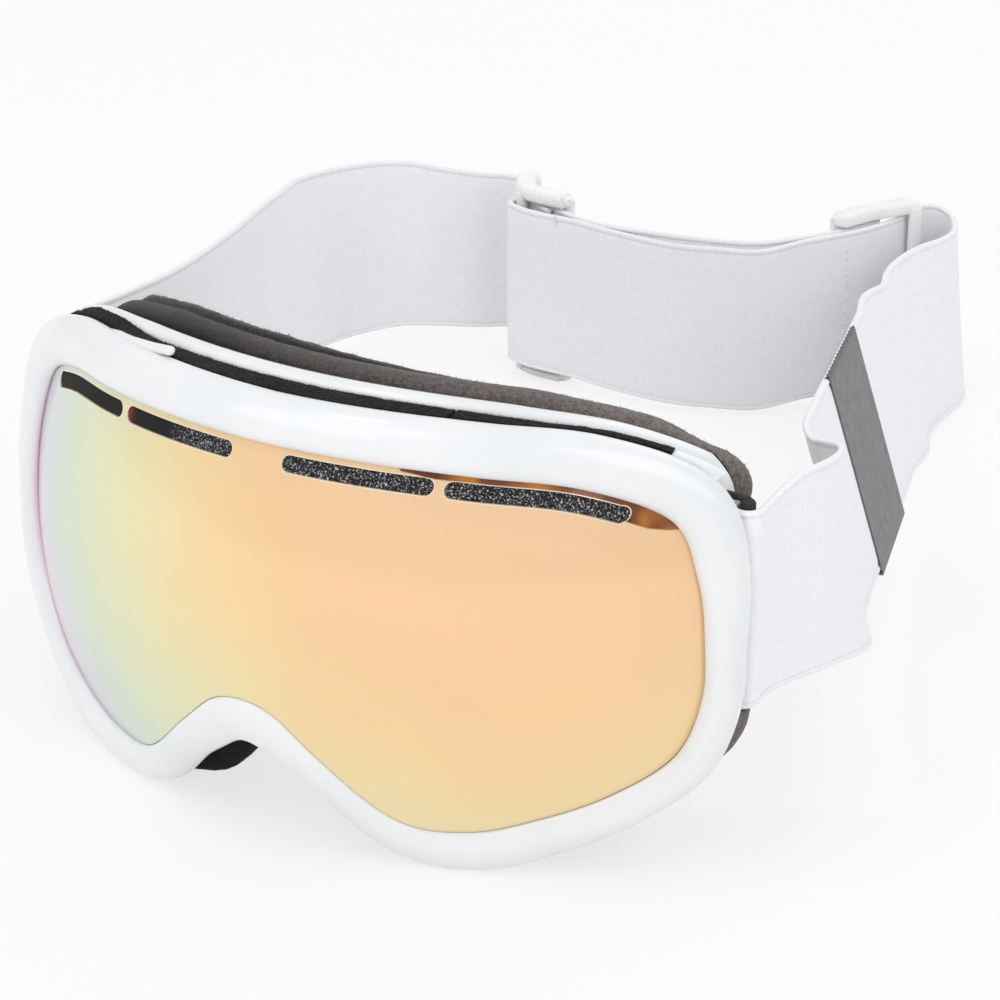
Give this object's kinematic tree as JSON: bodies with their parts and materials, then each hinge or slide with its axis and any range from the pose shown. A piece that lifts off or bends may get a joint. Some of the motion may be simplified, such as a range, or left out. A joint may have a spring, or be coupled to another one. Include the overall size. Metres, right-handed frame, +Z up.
{
  "type": "ski goggles",
  "caption": "Ski goggles with a round mirrored lens, a vented moulded frame, layered face foam and an adjustable elastic strap.",
  "frame": {"origin": "on the floor in the goggles' middle plane, straight below the lens's foremost point", "axes": "+Z up, the wearer looks along -Y, +X is the wearer's left"},
  "size_m": [0.2455, 0.3154, 0.0973],
  "materials": {
    "frame_plastic": "white moulded plastic, semi-gloss",
    "mirror_lens": "mirror coated amber lens",
    "clear_lens": "clear amber inner lens",
    "gasket": "matt black",
    "vent_foam": "open-cell vent foam, dark",
    "backing": "black foam layer",
    "face_foam": "brown-grey face foam",
    "fleece": "dark fleece",
    "webbing": "white woven elastic",
    "slider_plastic": "milky translucent plastic",
    "card": "grey printed card, left blank"
  },
  "bodies": {
    "frame": {"front_frame": "frame_plastic", "rear_frame": "frame_plastic", "frame_bridges": "frame_plastic", "top_vent_foam": "vent_foam", "shoulder_vent_foam": "vent_foam", "lower_vent_foam": "vent_foam", "nose_vent_foam": "vent_foam", "foam_backing": "backing", "face_foam": "face_foam", "face_fleece": "fleece", "strap_post_right": "frame_plastic", "strap_post_left": "frame_plastic"},
    "lens": {"outer_lens": "mirror_lens", "inner_lens": "clear_lens", "lens_gasket": "gasket", "slot_pads": "vent_foam"},
    "right_strap": {"strap_right": "webbing"},
    "back_inner": {"strap_back_inner": "webbing", "slider_left": "slider_plastic"},
    "back_outer": {"strap_back_outer": "webbing", "slider_right": "slider_plastic"},
    "left_strap": {"strap_left": "webbing"},
    "card": {"card_sleeve": "card"}
  },
  "joints": [
    {"name": "lens_release", "type": "slide", "parent": "frame", "child": "lens", "axis": [0, -1, 0], "range_m": [0, 0.045]},
    {"name": "right_anchor", "type": "hinge", "parent": "frame", "child": "right_strap", "pos_m": [0.08532, 0.05232, 0.0271], "axis": [0, 0, 1], "range_deg": [-1, 4]},
    {"name": "right_fold", "type": "hinge", "parent": "right_strap", "child": "back_inner", "pos_m": [0.00793, 0.30615, 0.0271], "axis": [0, 0, 1], "range_deg": [-1, 8]},
    {"name": "strap_adjust", "type": "hinge", "parent": "back_inner", "child": "back_outer", "pos_m": [-0.052, 0.309, 0.0271], "axis": [0, 0, -1], "range_deg": [0, 18]},
    {"name": "left_anchor", "type": "hinge", "parent": "frame", "child": "left_strap", "pos_m": [-0.08532, 0.05232, 0.0271], "axis": [0, 0, 1], "range_deg": [-1, 7]},
    {"name": "card_slide", "type": "slide", "parent": "right_strap", "child": "card", "axis": [-0.3136, 0.9408, -0.1289], "range_m": [-0.015, 0.015]}
  ],
  "couplings": [
    {"joint": "right_anchor", "follows": "strap_adjust", "ratio": 0.11946},
    {"joint": "right_fold", "follows": "strap_adjust", "ratio": 0.26795},
    {"joint": "left_anchor", "follows": "strap_adjust", "ratio": 0.22968}
  ]
}
